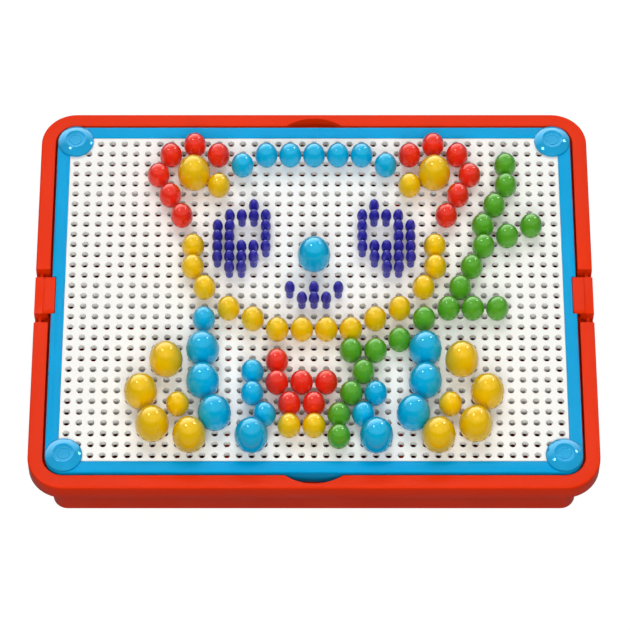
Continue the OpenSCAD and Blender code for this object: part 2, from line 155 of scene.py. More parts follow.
class Nodes:
    """Adds and joins the nodes of one tree."""

    def __init__(self, tree: bpy.types.NodeTree) -> None:
        """Keeps the tree and empties it."""
        self.tree = tree
        tree.nodes.clear()

    def add(self, kind: str, **inputs: object) -> bpy.types.Node:
        """Adds a node and sets or links its inputs.

        Args:
            kind: The node's type name.
            **inputs: Sockets by name, with spaces as underscores. A socket is linked, a value is set.

        Returns:
            The new node.
        """
        node = self.tree.nodes.new(kind)
        for name, value in inputs.items():
            self.feed(node, name.replace("_", " "), value)
        return node

    def feed(self, node: bpy.types.Node, name: str | int, value: object) -> None:
        """Links or sets one input of a node.

        Args:
            node: The node.
            name: The input's name or number.
            value: The socket to link or the value to set.
        """
        socket = node.inputs[name]
        if isinstance(value, Socket):
            self.tree.links.new(value, socket)
        else:
            socket.default_value = value

    def math(self, operation: str, *values: Socket | float, clamp: bool = False) -> Socket:
        """Works out one number from others.

        Args:
            operation: The Math node's operation.
            *values: The numbers that it takes.
            clamp: Whether the result is kept from 0 to 1.

        Returns:
            The result.
        """
        node = self.tree.nodes.new("ShaderNodeMath")
        node.operation = operation
        node.use_clamp = clamp
        for index, value in enumerate(values):
            self.feed(node, index, value)
        return node.outputs[0]

    def vector(self, operation: str, *values: Socket | Point) -> Socket:
        """Works out one vector from others.

        Args:
            operation: The Vector Math node's operation.
            *values: The vectors that it takes.

        Returns:
            The result.
        """
        node = self.tree.nodes.new("ShaderNodeVectorMath")
        node.operation = operation
        for index, value in enumerate(values):
            self.feed(node, index, value)
        return node.outputs["Vector"]

    def combined(self, **parts: Socket | float) -> Socket:
        """Returns a vector made of X, Y and Z, each 0 where it is not given."""
        return self.add("ShaderNodeCombineXYZ", **parts).outputs["Vector"]

    def axes(self, vector: Socket) -> bpy.types.NodeOutputs:
        """Returns a vector's X, Y and Z."""
        return self.add("ShaderNodeSeparateXYZ", Vector=vector).outputs

    def span(self, value: Socket, source: Flat, target: Flat) -> Socket:
        """Maps a number from one range to another and keeps it there.

        Args:
            value: The number.
            source: The low and high end of its range.
            target: What the two ends become.

        Returns:
            The mapped number.
        """
        node = self.add("ShaderNodeMapRange", Value=value)
        for name, number in zip(("From Min", "From Max", "To Min", "To Max"), source + target):
            node.inputs[name].default_value = number
        return node.outputs["Result"]

    def noise(self, place: Socket, size: float, detail: float) -> Socket:
        """Returns a noise factor whose features are about size metres across."""
        return self.add("ShaderNodeTexNoise", Vector=place, Scale=1.0 / size, Detail=detail).outputs["Fac"]

    def blend(self, factor: Socket, first: Socket | Sequence[float],
              second: Socket | Sequence[float]) -> Socket:
        """Blends two colours.

        Args:
            factor: The share of the second.
            first, second: The colours.

        Returns:
            The colour between them.
        """
        node = self.tree.nodes.new("ShaderNodeMix")
        node.data_type = "RGBA"
        for index, value in ((0, factor), (6, first), (7, second)):
            self.feed(node, index, value)
        return node.outputs[2]

    def between(self, factor: Socket, first: Socket | float, second: Socket | float) -> Socket:
        """Blends two numbers.

        Args:
            factor: The share of the second.
            first, second: The numbers.

        Returns:
            The number between them.
        """
        node = self.tree.nodes.new("ShaderNodeMix")
        for index, value in ((0, factor), (2, first), (3, second)):
            self.feed(node, index, value)
        return node.outputs[0]


@dataclass(frozen=True)
class MouldedPlastic:
    """Glossy injection-moulded plastic.

    Attributes:
        name: The material's name.
        slot: The record's slot that it stands for; not used.
        colour: The linear base colour.
        roughness: The mean roughness of the skin.
        spread: How far the roughness wanders.
        flow: How far the tone wanders where the melt flowed.
        flow_size: The width of a flow mark, in metres.
        patch_size: The width of a handled patch, in metres.
        hair_size: The length of a hairline rub, in metres.
        hair_dulling: What a hairline rub adds to the roughness.
        skin_size: The width of a skin dimple, in metres.
        skin_depth: The depth of a skin dimple, in metres.
        gloss: The specular level.
        pearl: The share of the pigment that mirrors light in its own colour.
    """

    name: str
    slot: Slot
    colour: Colour
    roughness: float = 0.2
    spread: float = 0.05
    flow: float = 0.04
    flow_size: float = 0.03
    patch_size: float = 0.02
    hair_size: float = 0.004
    hair_dulling: float = 0.07
    skin_size: float = 0.0011
    skin_depth: float = 0.000006
    gloss: float = 0.5
    pearl: float = 0.0

    def material(self) -> bpy.types.Material:
        """Makes the finished material, once.

        Returns:
            The material, the same one at each call.
        """
        known = bpy.data.materials.get(self.name)
        if known:
            return known
        made = bpy.data.materials.new(self.name)
        made.use_nodes = True
        nodes = Nodes(made.node_tree)
        place = nodes.add("ShaderNodeTexCoord").outputs["Object"]
        shader = nodes.add("ShaderNodeBsdfPrincipled", Base_Color=self.tone(nodes, place),
                           Roughness=self.rubbing(nodes, place), Metallic=self.pearl,
                           Specular_IOR_Level=self.gloss, Normal=self.skin(nodes, place))
        nodes.add("ShaderNodeOutputMaterial", Surface=shader.outputs["BSDF"])
        made.diffuse_color = scaled(self.colour, 1.0)
        return made

    def tone(self, nodes: Nodes, place: Socket) -> Socket:
        """Varies the base colour, a little deeper and lighter along flow marks.

        Args:
            nodes: The material's nodes.
            place: The coordinates that the pattern follows.

        Returns:
            The colour.
        """
        marks = nodes.span(nodes.noise(place, self.flow_size, detail=4.0), FLOW_RANGE, (0.0, 1.0))
        return nodes.blend(marks, scaled(self.colour, 1 - self.flow), scaled(self.colour, 1 + self.flow))

    def rubbing(self, nodes: Nodes, place: Socket) -> Socket:
        """Varies the roughness, with handled patches and faint hairline rubs.

        Args:
            nodes: The material's nodes.
            place: The coordinates that the pattern follows.

        Returns:
            The roughness.
        """
        patches = nodes.span(nodes.noise(place, self.patch_size, detail=3.0), PATCH_RANGE,
                             (-self.spread, self.spread))
        stretch = nodes.add("ShaderNodeMapping", Vector=place, Rotation=HAIR_TURN, Scale=HAIR_STRETCH)
        hairs = nodes.span(nodes.noise(stretch.outputs["Vector"], self.hair_size, detail=2.0), HAIR_RANGE,
                           (0.0, self.hair_dulling))
        return nodes.math("ADD", nodes.math("ADD", patches, hairs), self.roughness, clamp=True)

    def skin(self, nodes: Nodes, place: Socket) -> Socket:
        """Dimples the skin, as any moulding's is.

        Args:
            nodes: The material's nodes.
            place: The coordinates that the pattern follows.

        Returns:
            The normal.
        """
        bump = nodes.add("ShaderNodeBump", Strength=1.0, Distance=self.skin_depth,
                         Height=nodes.noise(place, self.skin_size, detail=1.0))
        return bump.outputs["Normal"]


@dataclass(frozen=True)
class TrayPlastic(MouldedPlastic):
    """Plastic of the tray, duller on its unpolished inside, where painted shade deepens its tone.

    Attributes:
        inside: Half the length, half the width and the height of the inside, in metres.
        depth: The tone of the inside, as a share of the outside's: painted shade within the walls.
        dulling: What the inside adds to the roughness.
    """

    inside: Point = (0.1255, 0.0955, 0.031)
    # Painted shade: the share of the outside's tone that the inside is darkened to
    depth: float = 0.36
    dulling: float = 0.34

    def within(self, nodes: Nodes, place: Socket) -> Socket:
        """Tells the inside from the outside.

        Args:
            nodes: The material's nodes.
            place: The coordinates, from the middle of the table.

        Returns:
            One within the walls and nothing outside them.
        """
        axes = nodes.axes(place)
        within = nodes.math("LESS_THAN", axes["Z"], self.inside[2])
        for axis, half in zip("XY", self.inside):
            near = nodes.math("LESS_THAN", nodes.math("ABSOLUTE", axes[axis]), half)
            within = nodes.math("MULTIPLY", within, near)
        return within

    def tone(self, nodes: Nodes, place: Socket) -> Socket:
        """Returns the base colour, with painted shade making it deeper within the walls."""
        plain = super().tone(nodes, place)
        # Painted shade: the inside takes a darker tone to stand for the shade within the walls
        return nodes.blend(self.within(nodes, place), plain, scaled(self.colour, self.depth))

    def rubbing(self, nodes: Nodes, place: Socket) -> Socket:
        """Returns the roughness, higher within the walls."""
        duller = nodes.math("MULTIPLY", self.within(nodes, place), self.dulling)
        return nodes.math("ADD", super().rubbing(nodes, place), duller, clamp=True)


@dataclass(frozen=True)
class PegPlastic(MouldedPlastic):
    """Plastic of a peg, with its parting line and gate mark.

    Attributes:
        line_width: The width of the parting line, in metres.
        line_share: The depth of the parting line, as a share of the gate mark's.
        gate_radius: The radius of the gate mark at the head's top, in metres.
        gate_flat: The radius of its flat middle, as a share of its whole radius.
        mark_depth: The depth of the gate mark, in metres.
        mark_strength: How plainly both marks show.
    """

    line_width: float = 0.00022
    line_share: float = 0.5
    gate_radius: float = 0.0006
    gate_flat: float = 0.7
    mark_depth: float = 0.00004
    mark_strength: float = 0.6

    def skin(self, nodes: Nodes, place: Socket) -> Socket:
        """Presses the parting line and the gate mark into the skin.

        Args:
            nodes: The material's nodes.
            place: The coordinates that the skin's dimples follow.

        Returns:
            The normal.
        """
        local = nodes.add("ShaderNodeAttribute")
        local.attribute_name = PEG_PLACE
        axes = nodes.axes(local.outputs["Vector"])
        line = nodes.span(nodes.math("ABSOLUTE", axes["Z"]), (0.0, self.line_width), (1.0, 0.0))
        across = nodes.math("SQRT", nodes.math("ADD", nodes.math("POWER", axes["X"], 2.0),
                                               nodes.math("POWER", axes["Y"], 2.0)))
        gate = nodes.span(across, (self.gate_radius * self.gate_flat, self.gate_radius), (-1.0, 0.0))
        above = nodes.math("GREATER_THAN", axes["Z"], 0.0)
        height = nodes.math("ADD", nodes.math("MULTIPLY", line, self.line_share),
                            nodes.math("MULTIPLY", gate, above))
        marks = nodes.add("ShaderNodeBump", Strength=self.mark_strength, Distance=self.mark_depth,
                          Height=height, Normal=super().skin(nodes, place))
        return marks.outputs["Normal"]


CASE_RED = TrayPlastic("case red moulding", Slot.CASE, from_screen(221, 47, 4), roughness=0.36,
                       spread=0.06, gloss=0.09, flow_size=0.05)
FRAME_BLUE = MouldedPlastic("frame blue moulding", Slot.FRAME, from_screen(0, 155, 211), roughness=0.22,
                            gloss=0.08, flow_size=0.04)
BUTTON_BLUE = MouldedPlastic("button blue moulding", Slot.FRAME, from_screen(0, 151, 201), roughness=0.09,
                             gloss=0.3, flow_size=0.01, pearl=0.12)
BOARD_WHITE = MouldedPlastic("board white moulding", Slot.BOARD, from_screen(237, 236, 232), roughness=0.34,
                             flow=0.01, gloss=0.1, flow_size=0.06)
PEG_FINISHES = {
    slot: PegPlastic(slot.value.replace("_", " "), slot, from_screen(*screen), roughness=roughness,
                     flow_size=0.012, pearl=0.08)
    for slot, screen, roughness in (
        (Slot.RED, (227, 42, 20), 0.06),
        (Slot.YELLOW, (232, 188, 1), 0.16),
        (Slot.BLUE, (0, 172, 217), 0.07),
        (Slot.GREEN, (82, 160, 33), 0.07),
        (Slot.INDIGO, (46, 42, 157), 0.1))
}


def add_object(name: str, mesh: bpy.types.Mesh) -> bpy.types.Object:
    """Links a new object at the origin.

    Args:
        name: The object's name.
        mesh: Its mesh.

    Returns:
        The object.
    """
    made = bpy.data.objects.new(name, mesh)
    bpy.context.scene.collection.objects.link(made)
    return made


def soften(mesh: bpy.types.Mesh, angle: float) -> None:
    """Shades a mesh smooth but for edges sharper than an angle in degrees."""
    mesh.shade_smooth()
    mesh.set_sharp_from_angle(angle=math.radians(angle))


def finished_mesh(build: bmesh.types.BMesh, name: str) -> bpy.types.Mesh:
    """Turns what was built into a mesh and frees it.

    Args:
        build: What was built.
        name: The mesh's name.

    Returns:
        The mesh.
    """
    mesh = bpy.data.meshes.new(name)
    build.to_mesh(mesh)
    build.free()
    return mesh


def settle(piece: bpy.types.Object) -> None:
    """Turns an object with live modifiers into a plain mesh.

    Args:
        piece: The object, which keeps its name.
    """
    graph = bpy.context.evaluated_depsgraph_get()
    plain = bpy.data.meshes.new_from_object(piece.evaluated_get(graph))
    piece.modifiers.clear()
    old = piece.data
    piece.data = plain
    if old.users == 0:
        bpy.data.meshes.remove(old)


def spun(section: Sequence[Flat], centre: Vector, sides: int) -> bpy.types.Mesh:
    """Turns a section of (radius, height) points about the vertical through a centre.

    Args:
        section: The section from the lower pole to the upper one, both at radius 0.
        centre: Where the axis stands and what heights count from.
        sides: The number of sides of the result.

    Returns:
        A closed mesh.
    """
    build = bmesh.new()
    low = build.verts.new(centre + Vector((0, 0, section[0][1])))
    high = build.verts.new(centre + Vector((0, 0, section[-1][1])))
    turns = [2 * math.pi * k / sides for k in range(sides)]
    rows = [[build.verts.new(centre + Vector((radius * math.cos(turn), radius * math.sin(turn), height)))
             for turn in turns] for radius, height in section[1:-1]]
    for k in range(sides):
        beside = (k + 1) % sides
        build.faces.new((low, rows[0][beside], rows[0][k]))
        build.faces.new((high, rows[-1][k], rows[-1][beside]))
        for row, above in zip(rows, rows[1:]):
            build.faces.new((row[k], row[beside], above[beside], above[k]))
    bmesh.ops.recalc_face_normals(build, faces=build.faces)
    return finished_mesh(build, "spun")


def moulding(node: str, name: str, edge: float) -> bpy.types.Object:
    """Makes a smooth moulding from a CAD node's own shape.

    Args:
        node: The CAD node to copy.
        name: The piece's name.
        edge: The radius given to sharp edges, in metres.

    Returns:
        A piece with one skin, soft edges and smooth curves.
    """
    build = bmesh.new()
    build.from_mesh(frame["nodes"][node].data)
    bmesh.ops.remove_doubles(build, verts=build.verts, dist=WELD)
    bmesh.ops.dissolve_limit(build, angle_limit=math.radians(FLAT_ANGLE), verts=build.verts,
                             edges=build.edges)
    made = add_object(name, finished_mesh(build, name))
    rounder = made.modifiers.new("edge", "BEVEL")
    rounder.width = edge
    rounder.segments = ROUND_STEPS
    rounder.limit_method = "ANGLE"
    rounder.angle_limit = math.radians(ROUNDED_ANGLE)
    rounder.use_clamp_overlap = True
    settle(made)
    soften(made.data, MOULDING_CREASE)
    return made


def dress(piece: bpy.types.Object, finish: MouldedPlastic, body: str, node: str) -> None:
    """Gives a piece its finish and its body, and hides the CAD node that it stands for.

    Args:
        piece: The finished piece.
        finish: What it is made of.
        body: The body that it rides on.
        node: The CAD node that it replaces.
    """
    piece.data.materials.clear()
    piece.data.materials.append(finish.material())
    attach(piece, body)
    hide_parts(node)
    LOG.info("%s rides on %s in %s", piece.name, body, finish.name)


def middle(node: str) -> Vector:
    """Returns the centre of a CAD node's box."""
    low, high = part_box(node)
    return (low + high) / 2


def new_tree(name: str, sockets: dict[str, str]) -> bpy.types.GeometryNodeTree:
    """Makes an empty node tree that takes and gives a geometry.

    Args:
        name: The tree's name.
        sockets: The kinds of its further inputs, by their names.

    Returns:
        The tree.
    """
    tree = bpy.data.node_groups.new(name, "GeometryNodeTree")
    for label, kind in {"Geometry": "Geometry", **sockets}.items():
        tree.interface.new_socket(label, in_out="INPUT", socket_type=f"NodeSocket{kind}")
    tree.interface.new_socket("Geometry", in_out="OUTPUT", socket_type="NodeSocketGeometry")
    return tree


def set_inputs(layer: bpy.types.NodesModifier, values: dict[str, object]) -> None:
    """Sets a node modifier's inputs by their sockets' identifiers.

    Args:
        layer: The modifier.
        values: The values, by the inputs' names.
    """
    for item in layer.node_group.interface.items_tree:
        if item.in_out == "INPUT" and item.name in values:
            layer[item.identifier] = values[item.name]


@dataclass
class StorageTray:
    """The red tray with its hollow rim, and the hinge pins of its latches.

    Attributes:
        edge: The radius of the tray's edges, in metres.
        pin_edge: The radius of the pins' edges, in metres.
    """

    edge: float = 0.25 * MM
    pin_edge: float = 0.15 * MM

    def build(self) -> int:
        """Builds the tray and its pins.

        Returns:
            The number of pieces made.
        """
        tray = moulding("case_tray", "tray_moulding", self.edge)
        dress(tray, CASE_RED, Body.CASE.value, "case_tray")
        for side in Side:
            pin = moulding(f"latch_pin_{side.value}", f"hinge_pin_{side.value}", self.pin_edge)
            dress(pin, CASE_RED, Body.CASE.value, f"latch_pin_{side.value}")
        return 1 + len(Side)


@dataclass
class SideLatch:
    """One red latch that swings on its pin.

    Attributes:
        side: The side of the tray that it is on.
        edge: The radius of its edges, in metres.
    """

    side: Side
    edge: float = 0.3 * MM

    def build(self) -> int:
        """Builds the latch.

        Returns:
            The number of pieces made.
        """
        node = f"latch_{self.side.value}"
        latch = moulding(node, f"latch_moulding_{self.side.value}", self.edge)
        dress(latch, CASE_RED, Body(node).value, node)
        return 1


@dataclass
class BoardFrame:
    """The blue frame round the board.

    Attributes:
        edge: The radius of its edges, in metres.
    """

    edge: float = 0.12 * MM

    def build(self) -> int:
        """Builds the frame.

        Returns:
            The number of pieces made.
        """
        rim = moulding("board_frame", "frame_moulding", self.edge)
        dress(rim, FRAME_BLUE, Body.BOARD.value, "board_frame")
        return 1


@dataclass
class CornerButton:
    """A round button pressed into a corner of the frame. Its sizes are in metres.

    Attributes:
        corner: The corner that it is in.
        shoulder: The height of its outer edge above its seat.
        foot_round: The radius between its underside and its side.
        brim: The width of the small slope at its outer edge.
        brim_drop: The height of that slope.
        dome_inset: The distance from its side to where the dome's own curve starts.
        dome: The radius of the dome above the outer edge.
        dish: The radius of the recess in its top.
        slope: The width of the slope round the recess.
        lip_share: Where that slope's lip ends, as a share of its width.
        lip_drop: How much lower the lip ends.
        dish_depth: The depth of the recess.
        dish_round: The width of the round at the recess's floor.
        dish_round_rise: The height of that round.
        ring: The radius of the raised ring in the recess.
        ring_half: Half the width of that ring.
        ring_rise: The height of that ring.
        sag_inset: The distance from the ring to where the middle starts to sag.
        sag: How much the middle sags.
        stem: The radius of its stem.
        tip: The width of the taper at the stem's tip.
        tip_length: The length of that taper.
        crease: The length of the stem's band that keeps its upper edge crisp.
        sides: The number of sides of its round.
        dome_steps, ring_steps: The number of steps along the dome and over the ring.
    """

    corner: Corner
    shoulder: float = 1.0 * MM
    foot_round: float = 0.3 * MM
    brim: float = 0.08 * MM
    brim_drop: float = 0.2 * MM
    dome_inset: float = 0.25 * MM
    dome: float = 15.5 * MM
    dish: float = 4.6 * MM
    slope: float = 0.35 * MM
    lip_share: float = 0.7
    lip_drop: float = 0.06 * MM
    dish_depth: float = 0.5 * MM
    dish_round: float = 0.2 * MM
    dish_round_rise: float = 0.08 * MM
    ring: float = 2.9 * MM
    ring_half: float = 0.35 * MM
    ring_rise: float = 0.25 * MM
    sag_inset: float = 1.2 * MM
    sag: float = 0.05 * MM
    stem: float = 1.58 * MM
    tip: float = 0.4 * MM
    tip_length: float = 0.6 * MM
    crease: float = 0.05 * MM
    sides: int = 72
    dome_steps: int = 9
    ring_steps: int = 6

    def level(self, radius: float, away: float) -> float:
        """Works out the dome's height above the seat.

        Args:
            radius: The button's outer radius.
            away: The distance from the axis.

        Returns:
            The height.
        """
        return self.shoulder + math.sqrt(self.dome ** 2 - away ** 2) - math.sqrt(self.dome ** 2 - radius ** 2)

    def underside(self, radius: float, foot: float) -> list[Flat]:
        """Draws the section from the stem's tip to the outer edge.

        Args:
            radius: The button's outer radius.
            foot: How far the stem reaches below the seat.

        Returns:
            Points of radius and height above the seat.
        """
        stem = [(0.0, -foot), (self.stem - self.tip, -foot), (self.stem, -foot + self.tip_length),
                (self.stem, -self.crease), (self.stem, 0.0)]
        seat = [(radius - self.foot_round * (1 - math.sin(turn)), self.foot_round * (1 - math.cos(turn)))
                for turn in (0.0, math.pi / 6, math.pi / 3, math.pi / 2)]
        return stem + seat

    def upper_side(self, radius: float) -> list[Flat]:
        """Draws the section from the outer edge to the middle of the top.

        Args:
            radius: The button's outer radius.

        Returns:
            Points of radius and height above the seat.
        """
        start, lip = radius - self.dome_inset, self.dish + self.slope
        along = [start + (lip - start) * step / self.dome_steps for step in range(self.dome_steps + 1)]
        rise = self.level(radius, lip)
        low = rise - self.dish_depth
        turns = [math.pi * step / self.ring_steps for step in range(self.ring_steps + 1)]
        return [
            (radius, self.shoulder - self.brim_drop),
            (radius - self.brim, self.shoulder),
            *((away, self.level(radius, away)) for away in along),
            (self.dish + self.lip_share * self.slope, rise - self.lip_drop),
            (self.dish, low + self.dish_round_rise),
            (self.dish - self.dish_round, low),
            *((self.ring + self.ring_half * math.cos(turn), low + self.ring_rise * math.sin(turn))
              for turn in turns),
            (self.ring - self.sag_inset, low),
            (0.0, low - self.sag)]

    def build(self) -> int:
        """Builds the button.

        Returns:
            The number of pieces made.
        """
        node = f"button_{self.corner.value}"
        low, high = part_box(node)
        radius = (high.x - low.x) / 2
        seat = high.z - self.level(radius, self.dish + self.slope)
        centre = Vector((middle(node).x, middle(node).y, seat))
        section = self.underside(radius, seat - low.z) + self.upper_side(radius)
        mesh = spun(section, centre, self.sides)
        soften(mesh, BUTTON_CREASE)
        button = add_object(f"button_moulding_{self.corner.value}", mesh)
        dress(button, BUTTON_BLUE, Body.BOARD.value, node)
        return 1


@dataclass
class PerforatedBoard:
    """The white board: a field of holes, a plain border and ribs underneath.

    Attributes:
        hole: The radius of a hole, in metres.
        pitch: The distance between holes, in metres.
        thickness: The board's thickness, in metres.
        chamfer: The width of the chamfer at a hole's mouth, in metres.
        sides: The number of sides of a hole, a multiple of eight.
        rib_rows: The ribs' places, in rows back from the middle.
        rib: The thickness of a rib, in metres.
        rib_inset: The distance from a rib's end to the corner axis, in metres.
        groove: The width of the groove round the field, in metres.
        groove_depth: The depth of that groove, in metres.
    """

    hole: float
    pitch: float
    thickness: float
    chamfer: float = 0.2 * MM
    sides: int = 16
    rib_rows: tuple[float, ...] = tuple(row + 0.5 for row in (*range(-12, -6), *range(-2, 2), 10))
    rib: float = 1.2 * MM
    rib_inset: float = 6.0 * MM
    groove: float = 0.35 * MM
    groove_depth: float = 0.6 * MM

    def cell(self, off_x: float = 0.0, off_y: float = 0.0) -> bpy.types.Mesh:
        """Makes one square of the board with its hole.

        Args:
            off_x, off_y: The hole's distance from the square's centre.

        Returns:
            A mesh with its top at height 0.
        """
        build = bmesh.new()
        half = self.pitch / 2
        turns = [2 * math.pi * k / self.sides for k in range(self.sides)]

        def square(height: float) -> list[bmesh.types.BMVert]:
            """Returns the square's edge points at a height."""
            reach = [half / max(abs(math.cos(turn)), abs(math.sin(turn))) for turn in turns]
            return [build.verts.new((r * math.cos(turn), r * math.sin(turn), height))
                    for turn, r in zip(turns, reach)]

        def ring(radius: float, height: float) -> list[bmesh.types.BMVert]:
            """Returns a round of points at a height."""
            return [build.verts.new((off_x + radius * math.cos(turn), off_y + radius * math.sin(turn),
                                     height)) for turn in turns]

        rows = [square(0), ring(self.hole + self.chamfer, 0), ring(self.hole, -self.chamfer),
                ring(self.hole, -self.thickness), square(-self.thickness)]
        for row, following in zip(rows, rows[1:]):
            for k in range(self.sides):
                beside = (k + 1) % self.sides
                build.faces.new((row[k], row[beside], following[beside], following[k]))
        return finished_mesh(build, "board_cell")

    def field_edge(self, half_x: float, half_y: float) -> list[Flat]:
        """Finds the points along the field's edge, as the cells have them.

        Args:
            half_x, half_y: Half the field's length and width.

        Returns:
            The points, once round.
        """
        columns, rows = round(2 * half_x / self.pitch), round(2 * half_y / self.pitch)
        turns = [2 * math.pi * k / self.sides - math.pi / 4 for k in range(self.sides // 4)]
        shares = [math.tan(turn) / 2 + 0.5 for turn in turns]
        along_x = [-half_x + (k + share) * self.pitch for k in range(columns) for share in shares]
        along_y = [-half_y + (k + share) * self.pitch for k in range(rows) for share in shares]
        return ([(x, -half_y) for x in along_x] + [(half_x, y) for y in along_y]
                + [(-x, half_y) for x in along_x] + [(-half_x, -y) for y in along_y])

    def border(self, low: Vector, high: Vector, axis: Vector, columns: int, rows: int) -> bpy.types.Mesh:
        """Makes the strip round the field with its groove, the four corner squares and the ribs.

        Args:
            low, high: The corners of the board's box.
            axis: The axis of the right-hand back button, where its hole stands.
            columns, rows: The field's size in holes.

        Returns:
            The border's mesh, open where the field joins it.
        """
        build = bmesh.new()
        half_x, half_y = columns * self.pitch / 2, rows * self.pitch / 2
        top, under = high.z, high.z - self.thickness
        corner = high.x - axis.x
        edge = self.field_edge(half_x, half_y)
        wide = self.stretched(edge, (half_x, half_y), (half_x + self.groove, half_y + self.groove))
        outer = [self.rounded(x, y, high, corner)
                 for x, y in self.stretched(edge, (half_x, half_y), (high.x, high.y))]
        loops = [[build.verts.new((x, y, z)) for x, y in line] for line, z in (
            (edge, top), (edge, top - self.groove_depth), (wide, top - self.groove_depth), (wide, top),
            (outer, top), (outer, under), (edge, under))]
        for loop, following in zip(loops, loops[1:]):
            for k in range(len(loop)):
                beside = (k + 1) % len(loop)
                build.faces.new((loop[k], following[k], following[beside], loop[beside]))
        self.add_ribs(build, axis.x - self.rib_inset, low.z, under)
        for side_x in (-1, 1):
            for side_y in (-1, 1):
                home = Vector((side_x * (half_x - self.pitch / 2), side_y * (half_y - self.pitch / 2), top))
                square = self.cell(side_x * axis.x - home.x, side_y * axis.y - home.y)
                square.transform(Matrix.Translation(home))
                build.from_mesh(square)
                bpy.data.meshes.remove(square)
        return finished_mesh(build, "board_border")

    def add_ribs(self, build: bmesh.types.BMesh, reach: float, low: float, high: float) -> None:
        """Adds the ribs under the board.

        Args:
            build: What the ribs are added to.
            reach: Half a rib's length.
            low, high: The heights between which the ribs stand.
        """
        for row in self.rib_rows:
            for vert in bmesh.ops.create_cube(build, size=1.0)["verts"]:
                vert.co.x *= 2 * reach
                vert.co.y = row * self.pitch + vert.co.y * self.rib
                vert.co.z = (high + low) / 2 + vert.co.z * (high - low)

    def stretched(self, line: Sequence[Flat], half: Flat, to: Flat) -> list[Flat]:
        """Returns a line round the field, stretched from its half length and width to others."""
        return [(x * to[0] / half[0], y * to[1] / half[1]) for x, y in line]

    def rounded(self, x: float, y: float, high: Vector, corner: float) -> Flat:
        """Moves a point of the outline onto the round of a corner where it is near one.

        Args:
            x, y: The point.
            high: The far corner of the board's box.
            corner: The radius of the board's corners.

        Returns:
            The point in its place.
        """
        over_x, over_y = abs(x) - (high.x - corner), abs(y) - (high.y - corner)
        if over_x <= 0 or over_y <= 0:
            return x, y
        length = math.hypot(over_x, over_y)
        return (math.copysign(high.x - corner + over_x / length * corner, x),
                math.copysign(high.y - corner + over_y / length * corner, y))

    def field_tree(self) -> bpy.types.GeometryNodeTree:
        """Makes the node tree that lays a cell on each place of the field.

        Returns:
            The tree, which adds the cells to the border that it is given.
        """
        tree = new_tree("field of holes", {"Cell": "Object", "Columns": "Int", "Rows": "Int",
                                           "Pitch": "Float", "Top": "Float", "Finish": "Material"})
        nodes = Nodes(tree)
        given = nodes.add("NodeGroupInput").outputs
        wide = nodes.math("MULTIPLY", nodes.math("SUBTRACT", given["Columns"], 1.0), given["Pitch"])
        deep = nodes.math("MULTIPLY", nodes.math("SUBTRACT", given["Rows"], 1.0), given["Pitch"])
        grid = nodes.add("GeometryNodeMeshGrid", Size_X=wide, Size_Y=deep, Vertices_X=given["Columns"],
                         Vertices_Y=given["Rows"])
        placed = nodes.add("GeometryNodeTransform", Geometry=grid.outputs["Mesh"],
                           Translation=nodes.combined(Z=given["Top"]))
        cell = nodes.add("GeometryNodeObjectInfo", Object=given["Cell"])
        axes = nodes.axes(nodes.add("GeometryNodeInputPosition").outputs["Position"])
        from_edge = [nodes.math("SUBTRACT", nodes.math("MULTIPLY", size, 0.5),
                                nodes.math("ABSOLUTE", axes[axis]))
                     for size, axis in ((wide, "X"), (deep, "Y"))]
        off_corners = nodes.math("GREATER_THAN", nodes.math("MAXIMUM", *from_edge),
                                 nodes.math("MULTIPLY", given["Pitch"], 0.5))
        laid = nodes.add("GeometryNodeInstanceOnPoints", Points=placed.outputs["Geometry"],
                         Instance=cell.outputs["Geometry"], Selection=off_corners)
        real = nodes.add("GeometryNodeRealizeInstances", Geometry=laid.outputs["Instances"])
        joined = nodes.add("GeometryNodeJoinGeometry")
        tree.links.new(real.outputs["Geometry"], joined.inputs["Geometry"])
        tree.links.new(given["Geometry"], joined.inputs["Geometry"])
        welded = nodes.add("GeometryNodeMergeByDistance", Geometry=joined.outputs["Geometry"], Distance=WELD)
        finished = nodes.add("GeometryNodeSetMaterial", Geometry=welded.outputs["Geometry"],
                             Material=given["Finish"])
        nodes.add("NodeGroupOutput", Geometry=finished.outputs["Geometry"])
        return tree

    def build(self) -> int:
        """Builds the board.

        Returns:
            The number of pieces made.
        """
        low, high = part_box("peg_board")
        # The border takes up one of the pitches that fit into the board
        columns = int(2 * high.x // self.pitch) - 1
        rows = int(2 * high.y // self.pitch) - 1
        cell = add_object("board_cell", self.cell())
        board = add_object("perforated_board",
                           self.border(low, high, middle(f"button_{Corner.BACK_RIGHT.value}"),
                                       columns, rows))
        layer = board.modifiers.new("field", "NODES")
        layer.node_group = self.field_tree()
        set_inputs(layer, {"Cell": cell, "Columns": columns, "Rows": rows, "Pitch": self.pitch,
                           "Top": high.z, "Finish": BOARD_WHITE.material()})
        settle(board)
        bpy.data.objects.remove(cell)
        soften(board.data, BOARD_CREASE)
        dress(board, BOARD_WHITE, Body.BOARD.value, "peg_board")
        LOG.info("board has %d by %d places", columns, rows)
        return 1


@dataclass(frozen=True)
class PegSize:
    """The size of a mushroom peg; heights count from the board's top, in metres.

    Attributes:
        name: What the size is called.
        head: The head's radius at its widest.
        top: The height of the head's top.
        widest: The height of the widest place.
        under: The height of the head's flat underside.
        under_radius: The radius of that underside.
        collar: The radius of the collar.
        sides: The number of sides of its round.
        rings: The number of rings of its head.
    """

    name: str
    head: float
    top: float
    widest: float
    under: float
    under_radius: float
    collar: float
    sides: int
    rings: int

    @property
    def drop(self) -> float:
        """Returns the half height of the egg that the lower head is cut from."""
        return (self.widest - self.under) / math.sqrt(1 - (self.under_radius / self.head) ** 2)


